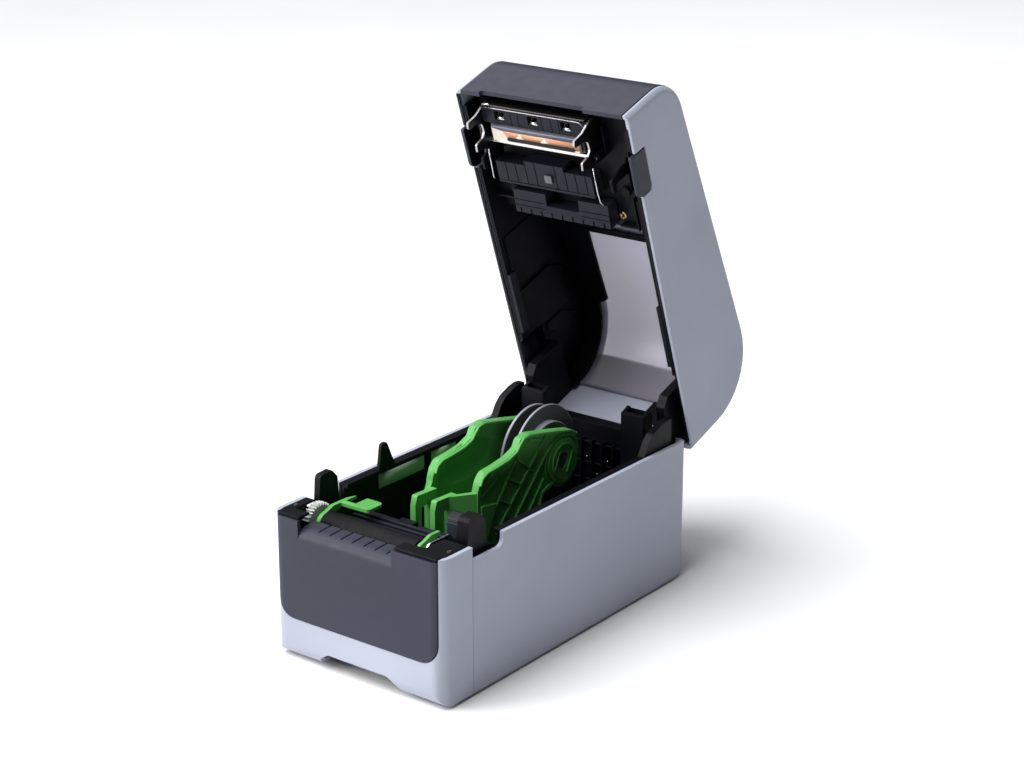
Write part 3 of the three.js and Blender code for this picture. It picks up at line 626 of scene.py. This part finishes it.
ARM_TOP = [(83.4, 79.5), (85.4, 83.4), (89.5, 85.4), (98, 86.0), (107.5, 87.2), (113.8, 89.3), (116.5, 92.2),
           (119.4, 94.9), (124.5, 95.8), (136, 93.6), (148, 91.0), (161.0, 88.0), (167.0, 84.6)]
RIGHT_RIBS = [
    ((88.5, 50.5), (117.5, 87.0)), ((98.0, 48.0), (141.5, 90.3)), ((110.0, 47.0), (146.5, 84.5)),
    ((120.5, 45.0), (139.5, 66.5)), ((84.5, 71.3), (100.0, 79.0)), ((108.6, 75.8), (119.5, 69.0)),
    ((117.0, 83.6), (129.5, 73.5)), ((101.0, 66.5), (111.0, 60.5)), ((88.8, 79.2), (99.0, 84.4)),
    ((126.0, 91.8), (139.5, 88.0)),
]
RIGHT_HUB_RIBS = [((146.5, 67.0), (152.0, 78.0)), ((158.0, 64.5), (163.0, 75.5))]
LEFT_RIBS = [((137.0, 62.5), (139.0, 92.0)), ((88.5, 50.5), (92.5, 83.0))]
RIGHT_GUSSET = [(84.8, 68.0), (84.8, 45.0), (88.0, 45.0), (97.5, 66.0)]


def web_rib(start, end, x0, x1):
    """Thin rib that stands on an arm's web between two points (y, z)."""
    (y0, z0), (y1, z1) = start, end
    scale = RIB_THICK / 2 / math.hypot(y1 - y0, z1 - z0)
    dy, dz = -(z1 - z0) * scale, (y1 - y0) * scale
    outline = [(y0 + dy, z0 + dz), (y0 - dy, z0 - dz), (y1 - dy, z1 - dz), (y1 + dy, z1 + dz)]
    return prism("rib", outline, x0, x1, "x")


def ring_rib(radius, thick, x0, x1, start=0, end=360):
    """Arc-shaped rib round the spool axis, between two angles in degrees."""
    steps = (end - start) // 9
    outer, inner = [], []
    for step in range(steps + 1):
        turn = math.radians(start + (end - start) * step / steps)
        along, up = math.cos(turn), math.sin(turn)
        outer.append((SPOOL[0] + (radius + thick) * along, SPOOL[1] + (radius + thick) * up))
        inner.append((SPOOL[0] + radius * along, SPOOL[1] + radius * up))
    return prism("rib", outer + inner[::-1], x0, x1, "x")


def dish_edge(scale, turn):
    """Point of the dish's outline, a tilted rounded lozenge."""
    along, up = math.cos(turn), math.sin(turn)
    u = math.copysign(abs(along) ** 0.8, along) * DISH_REACH[0] * scale
    v = math.copysign(abs(up) ** 0.8, up) * DISH_REACH[1] * scale
    return (DISH_CENTRE[0] + u * math.cos(DISH_TILT) - v * math.sin(DISH_TILT),
            DISH_CENTRE[1] + u * math.sin(DISH_TILT) + v * math.cos(DISH_TILT))


def dish_skin(builder, depth, plane, grow):
    """Bowl-shaped skin sunk away from a plane of constant x. Its rim is handed back."""
    rings = []
    for level in range(DISH_LEVELS):
        scale = 1 - level / DISH_LEVELS
        sink = depth * (1 - scale ** 5)
        rings.append([builder.verts.new((plane - sink, *dish_edge(scale * grow, turn)))
                      for turn in turns(DISH_SIDES)])
    middle = builder.verts.new((plane - depth, *dish_edge(0, 0)))
    for first, second in zip(rings, rings[1:]):
        join_rings(builder, first, second)
    for step in range(DISH_SIDES):
        builder.faces.new((rings[-1][step], rings[-1][(step + 1) % DISH_SIDES], middle))
    return rings[0]


def dish_mesh(depth=2.3, thick=0.8):
    """Shallow bowl closed by an outer skin."""
    builder = bmesh.new()
    inner = dish_skin(builder, depth, DISH_PLANE, 1.0)
    outer = dish_skin(builder, depth, DISH_PLANE - thick, 1.05)
    join_rings(builder, inner, outer)
    return finish_mesh("dish", builder)


def edge_strip(name, points, thick, x0, x1):
    """Band of even thickness under a line of points (y, z), extruded along x."""
    under = []
    for index, (y, z) in enumerate(points):
        y0, z0 = points[max(index - 1, 0)]
        y1, z1 = points[min(index + 1, len(points) - 1)]
        length = math.hypot(y1 - y0, z1 - z0)
        under.append((y + (z1 - z0) / length * thick, z - (y1 - y0) / length * thick))
    return prism(name, points + under[::-1], x0, x1, "x")


def on_arm(side, name, mesh, width, segments=2):
    piece = in_base(name, mesh, "green_plastic", GREEN, body=f"{side}_arm")
    return soften(piece, width, segments)


def build_right_arm_ribs():
    web, top = MEDIA_X + WEB_FACE, MEDIA_X + WEB_RIB_TOP
    hub, hub_top = MEDIA_X + HUB_FACE, MEDIA_X + HUB_RIB_TOP
    ribs = [web_rib(start, end, web, top) for start, end in RIGHT_RIBS]
    ribs.append(ring_rib(HUB_RADIUS, RING_THICK, web, top))
    ribs.append(ring_rib(9.0, RIB_THICK, hub, hub_top, 20, 250))
    ribs += [web_rib(start, end, hub, hub_top) for start, end in RIGHT_HUB_RIBS]
    on_arm("right", "right_arm_ribs", merged("right_arm_ribs", ribs), 0.15)
    on_arm("right", "right_arm_gusset", prism("gusset", RIGHT_GUSSET, web, MEDIA_X + 17.6, "x"), 0.3)


def build_left_arm_ribs():
    web, top = MEDIA_X - WEB_FACE, MEDIA_X - WEB_RIB_TOP
    ribs = [web_rib(start, end, top, web) for start, end in LEFT_RIBS]
    ribs.append(ring_rib(HUB_RADIUS, RING_THICK, top, web))
    on_arm("left", "left_arm_ribs", merged("left_arm_ribs", ribs), 0.15)


def build_arms():
    for side, x0, x1 in (("left", -12.9, -11.0), ("right", 16.7, 18.2)):
        name = f"{side}_arm_flange"
        on_arm(side, name, edge_strip(name, ARM_TOP, 1.5, MEDIA_X + x0, MEDIA_X + x1), 0.5, 3)
    rim = [dish_edge(0.985, turn) for turn in turns(DISH_SIDES)]
    opening = prism("dish_room", rim, MEDIA_X - 30, MEDIA_X - 13.2, "x")
    refine("left_roll_arm", 0.45, cutters=[opening], matrix=BASE)
    in_base("left_arm_dish", dish_mesh(), "green_plastic", GREEN, body="left_arm")
    refine("right_roll_arm", 0.45)
    build_right_arm_ribs()
    build_left_arm_ribs()


def lit_rim_look(polygon):
    """1 on the rim and the hub's sides, which carry painted light as a lighter grey, 0 on the flat faces."""
    return 1 if abs(polygon.normal.x) < 0.85 else 0


def build_discs(step_radius=19.5, hub_radius=16.5, bore=4):
    for side, sign, radius in (("left", -1, 26.4), ("right", 1, 28.0)):
        near, far, inner, end = [MEDIA_X + sign * reach for reach in (3.4, 5.0, 8.6, 16.6)]
        hub = far + sign * 0.8
        profile = [(near, 6), (near, radius - 0.5), (near + sign * 0.25, radius - 0.1),
                   (far - sign * 0.25, radius), (far, radius - 0.4), (far, step_radius),
                   (inner - sign * 0.4, step_radius), (inner, step_radius - 0.4), (inner, hub_radius),
                   (hub, hub_radius - 0.7), (hub, bore), (end, bore)]
        name = f"{side}_core_disc_face"
        mesh = lathe(name, profile, (0, *SPOOL), sides=96)
        piece = in_base(name, mesh, "grey_disc_plastic", DISC_FACE, DISC_LIT_RIM, body=f"{side}_disc")
        for polygon in piece.data.polygons:
            polygon.material_index = lit_rim_look(polygon)
        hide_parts(f"{side}_core_disc")
        soften(piece, 0.15)


# ---- print head ---------------------------------------------------------
FILM_STEP = 0.05     # thickness that each printed layer adds
CHEEK_LEFT, CHEEK_RIGHT = -38.55, 27.25   # the bracket's steel cheeks lie outside these
SPRING_XS = (-27.5, -6.3, 14.5)
SPRING_Y = 13.7
FILM_BLUE = [(-33, 18.9), (21.9, 18.9), (21.9, 20.9), (-26.5, 20.9), (-33, 19.6)]
FILM_COPPER = [(-26.5, 20.9), (21.9, 20.9), (21.9, 25.4), (-23.0, 25.4), (-24.4, 23.2)]
DRIVER_BAR = [(-22.6, 24.1), (18.6, 24.1), (19.4, 24.6), (19.4, 25.6), (18.6, 26.1), (-22.6, 26.1),
              (-23.4, 25.6), (-23.4, 24.6)]
BRACKET_EDGE = [(-36.5, 9.3, 76.7), (-30, 9.3, 76.75), (20, 9.3, 76.75), (23.5, 9.4, 76.7),
                (28.0, 12.2, 76.2)]


def film(name, outline, material, layer=1):
    """Thin printed layer on the underside of the thermal head."""
    top = HEAD_UNDERSIDE + 0.02
    mesh = prism(name, outline, top - FILM_STEP * layer - 0.04, top)
    return in_lid(name, mesh, "head_ceramic", material, body="print_head")


def coil(name, centre, radius, wire, z0, z1, windings):
    """Compression spring with closed ends, wound round z."""
    steps = windings * 22
    points = []
    for step in range(steps + 1):
        part = step / steps
        rise = min(max((part - 0.07) / 0.86, 0), 1)
        angle = 2 * math.pi * windings * part
        points.append((centre[0] + radius * math.cos(angle), centre[1] + radius * math.sin(angle),
                       z0 + wire + (z1 - z0 - 2 * wire) * rise))
    return tube(name, points, wire, 8)


def bracket_look(face):
    """0 on the plastic carrier, 1 on the edges of its steel cheeks and 2 on their flats."""
    if CHEEK_LEFT <= face.calc_center_median().x / MM <= CHEEK_RIGHT:
        return 0
    return 2 if abs(face.normal.x) > 0.5 else 1


def front_look(face):
    """1 on the thermal head's front face, else 0."""
    return 1 if face.normal.z > 0.8 else 0


def build_head_films():
    film("film_blue", FILM_BLUE, BLUE_FILM)
    film("film_copper", FILM_COPPER, COPPER)
    for number, x in enumerate((-15.2, 0.6)):
        outline = [(x - 3.4, 24.3), (x - 1.2, 22.8), (x - 0.3, 21.4), (x + 0.3, 21.4), (x + 1.2, 22.8),
                   (x + 3.4, 24.3)]
        film(f"film_window_{number + 1}", outline, CERAMIC, 2)
    bar = prism("driver_cover", DRIVER_BAR, HEAD_UNDERSIDE - 0.75, HEAD_UNDERSIDE + 0.01)
    soften(in_lid("driver_cover", bar, "black_plastic", BLACK_SMOOTH, body="print_head"), 0.25)


def build_head_springs():
    for number, x in enumerate(SPRING_XS):
        node = f"head_spring_{number + 1}"
        mesh = coil(f"{node}_coil", (x, SPRING_Y), 1.75, 0.32, 78.4, 87.6, 6)
        piece = in_lid(f"{node}_coil", mesh, "bright_steel", DARK_STEEL, body=BODY_OF[node])
        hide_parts(node)
        outline = [(x - 2.8, 16.35), (x - 1.9, 14.2), (x + 1.9, 14.2), (x + 2.8, 16.35)]
        seat = prism("seat", outline, 77.3, 77.7)
        in_lid(f"{node}_seat", seat, "bright_steel", STEEL, body="print_head")


def build_head():
    grooves = [slab("cut", x - 0.2, x + 0.2, 9, 19, 76, 77.3) for x in (-20.3, -15.6, -0.6, 5.4, 10.0)]
    bracket_looks = [BLACK_SMOOTH, EDGE_STEEL, DARK_STEEL]
    refine("head_bracket", 0.12, bracket_looks, bracket_look, cutters=grooves, matrix=LID)
    refine("thermal_head", 0.15, [CERAMIC, BLUE_FILM], front_look)
    build_head_films()
    edge = tube("bracket_edge", BRACKET_EDGE, 0.2)
    in_lid("bracket_edge", edge, "bright_steel", EDGE_STEEL, body="print_head")
    build_head_springs()


# ---- lid ----------------------------------------------------------------
LID_EDGES = {"lid_shell": 0.5, "lid_cap": 0.4, "window_pane": 0.15, "window_frame": 0.3}
LATCH_EDGES = {"latch_shaft": 0.3, "feed_button": 0.4, "power_button": 0.4, "status_light": 0.2}
LEG_EDGES = {
    "left_leg_edge": [(-33.6, 30, 70.0), (-33.6, 40, 69.4), (-33.6, 46.4, 69.0), (-33.4, 47.6, 69.8)],
    "right_leg_edge": [(28.6, 33.9, 74.5), (28.6, 48, 74.2), (29.2, 53.5, 74.0), (30.4, 55.6, 74.6)],
}
BOSSES = ((36.2, 53.5), (-36.5, 64.5), (44.6, 66.8))
CHASSIS_RIBS = (
    (42.6, 43.4, 54.5, 74, 83.0), (46.4, 47.2, 54.5, 74, 81.0), (30.6, 46.0, 73.0, 74.0, 84.0),
    (-48.6, -34.0, 68.0, 69.0, 84.0), (31.0, 31.8, 14, 30, 83.5), (-44.5, -43.7, 12, 33, 83.5),
)
LINING_PANELS = ((95, 128, 82, 118, 0.9), (131, 160, 82, 122, 1.5), (163, 171, 100, 124, 0.9))
REAR_GUSSET = [(12.0, 104.5), (48.9, 112.5), (48.9, 86.5), (12.0, 86.5)]
TEAR_BAR_LEFT = -38.0
TEAR_BAR_LENGTH = 64.0
TEETH = 42


def on_both_sides(near, far):
    """Spans of x that lie at the same distances left and right of the middle."""
    return (-far, -near), (near, far)


def guide_cutters():
    """Grooves across the upper media guide, except at its sensor, and one along it."""
    centres = [-33.2 + 6.4 * step for step in range(9)]
    grooves = [slab("cut", x - 0.25, x + 0.25, 38, 54.2, 78, 79.9)
               for x in centres if abs(x - MEDIA_X) > 3]
    grooves.append(slab("cut", -42, 24, 54.3, 54.8, 78, 79.9))
    return grooves


def guard_cutters():
    """Notches along the roll guard's edge, and two short grooves at either end."""
    centres = [-29.5 + 6.7 * step for step in range(9)]
    grooves = [slab("cut", x - 0.4, x + 0.4, 70.6, 74, 78, 80.5) for x in centres]
    grooves += [slab("cut", x0, x1, y, y + 0.45, 78, 80.75)
                for y in (65.6, 68.8) for x0, x1 in ((-34, -13), (10, 29))]
    return grooves


def inner_look(face):
    """1 where a face on either side looks towards the middle, else 0."""
    return 1 if face.normal.x * face.calc_center_median().x < 0 and abs(face.normal.x) > 0.3 else 0


def build_lid():
    for node, width in LID_EDGES.items():
        refine(node, width)
    for side in ("left", "right"):
        refine(f"{side}_lid_lining", 0.3)
        refine(f"{side}_release_tab", 0.5, [SLATE, BLACK], inner_look)
    refine("lid_chassis", 0.3)
    refine("tear_bar", 0.12, [DARK_STEEL])
    refine("heat_sink", 0.3, [DARK_STEEL])
    refine("head_pivot_rod", 0.2)
    refine("upper_media_guide", 0.2, [BLACK_SMOOTH], cutters=guide_cutters(), matrix=LID)
    refine("upper_media_sensor", 0.15, [DISC_FACE])
    refine("roll_guard", 0.2, [BLACK_SMOOTH], cutters=guard_cutters(), matrix=LID)
    for node, width in LATCH_EDGES.items():
        refine(node, width)


def build_chassis_details():
    for name, points in LEG_EDGES.items():
        in_lid(name, tube(name, points, 0.3), "bright_steel", STEEL)
    in_lid("chassis_screw", screw((30.6, 69.6, 87.5), 2.3, 0.9, 35), "bright_steel", BRASS)
    boss = [(86.6, 2.2), (86.2, 2.9), (CHASSIS_Z - 0.1, 2.9)]
    ribs = [lathe("boss", boss, (x, y, 0), axis="z", sides=28) for x, y in BOSSES]
    ribs += [slab("rib", *span, CHASSIS_Z) for span in CHASSIS_RIBS]
    soften(in_lid("chassis_ribs", merged("chassis_ribs", ribs), "black_plastic", BLACK), 0.15)


def build_lining_panels():
    panels = []
    for y0, y1, z0, z1, proud in LINING_PANELS:
        outline = [(y0, z0), (y1 - 4, z0), (y1, z0 + 8), (y1, z1), (y0 + 6, z1), (y0, z1 - 10)]
        for x0, x1 in on_both_sides(LINING_X - proud, LINING_X):
            panels.append(prism("panel", outline, x0, x1, "x"))
    soften(in_lid("lining_panels", merged("lining_panels", panels), "black_plastic", BLACK), 0.35)


def build_lining_details():
    build_lining_panels()
    rails = [slab("rail", x0, x1, 117, 155, 78.3, 83.5) for x0, x1 in on_both_sides(LINING_X - 2.1, LINING_X)]
    soften(in_lid("lining_rails", merged("lining_rails", rails), "black_plastic", BLACK_SMOOTH), 0.2)
    backing = [slab("backing", x0, x1, 162, 203, 78.4, 98) for x0, x1 in on_both_sides(51.4, 51.8)]
    in_lid("lining_backing", merged("lining_backing", backing), "black_plastic", BLACK)
    gusset = prism("rear_gusset", REAR_GUSSET, 205.2, 206.0, "y")
    soften(in_lid("rear_gusset", gusset, "black_plastic", BLACK), 0.2)
    trims = [slab("trim", x0, x1, y0, y1, 77.62, 77.88)
             for x0, x1, front in ((-54.1, -51.6, 4.5), (51.6, 52.6, 9.5))
             for y0, y1 in ((front, SEAM_Y - 0.5), (NOTCH_REAR + 1.0, 203))]
    in_lid("lid_rim_trim", merged("lid_rim_trim", trims), "black_plastic", BLACK)


def tear_teeth():
    """Fine saw-tooth edge of the tear bar."""
    end = TEAR_BAR_LEFT + TEAR_BAR_LENGTH
    pitch = TEAR_BAR_LENGTH / TEETH
    outline = [(TEAR_BAR_LEFT, 78.6)]
    for tooth in range(TEETH):
        x = TEAR_BAR_LEFT + tooth * pitch
        outline += [(x + pitch * 0.5, 77.5), (x + pitch, 78.6)]
    outline += [(end, 79.4), (TEAR_BAR_LEFT, 79.4)]
    return prism("tear_bar_teeth", outline, 8.75, 9.45, "y")


def build_lid_details():
    build_chassis_details()
    build_lining_details()
    in_lid("tear_bar_end", slab("tear_bar_end", -38.1, -33.4, 7.9, 8.55, 77.6, 79.2), "bright_steel", STEEL)
    in_lid("tear_bar_teeth", tear_teeth(), "bright_steel", DARK_STEEL)


# ---- scene --------------------------------------------------------------
def add_floor():
    builder = bmesh.new()
    corners = [(-FLOOR_REACH, -FLOOR_REACH), (FLOOR_REACH, -FLOOR_REACH),
               (FLOOR_REACH, FLOOR_REACH), (-FLOOR_REACH, FLOOR_REACH)]
    builder.faces.new([builder.verts.new((x, y, 0)) for x, y in corners])
    mesh = bpy.data.meshes.new("floor")
    builder.to_mesh(mesh)
    builder.free()
    mesh.materials.append(floor_material())
    floor = bpy.data.objects.new("floor", mesh)
    bpy.context.scene.collection.objects.link(floor)


add_camera()
light_scene()
build_base()
build_platen()
build_arms()
build_discs()
build_lid()
build_head()
build_lid_details()
build_base_details()
add_floor()

bpy.context.view_layer.update()
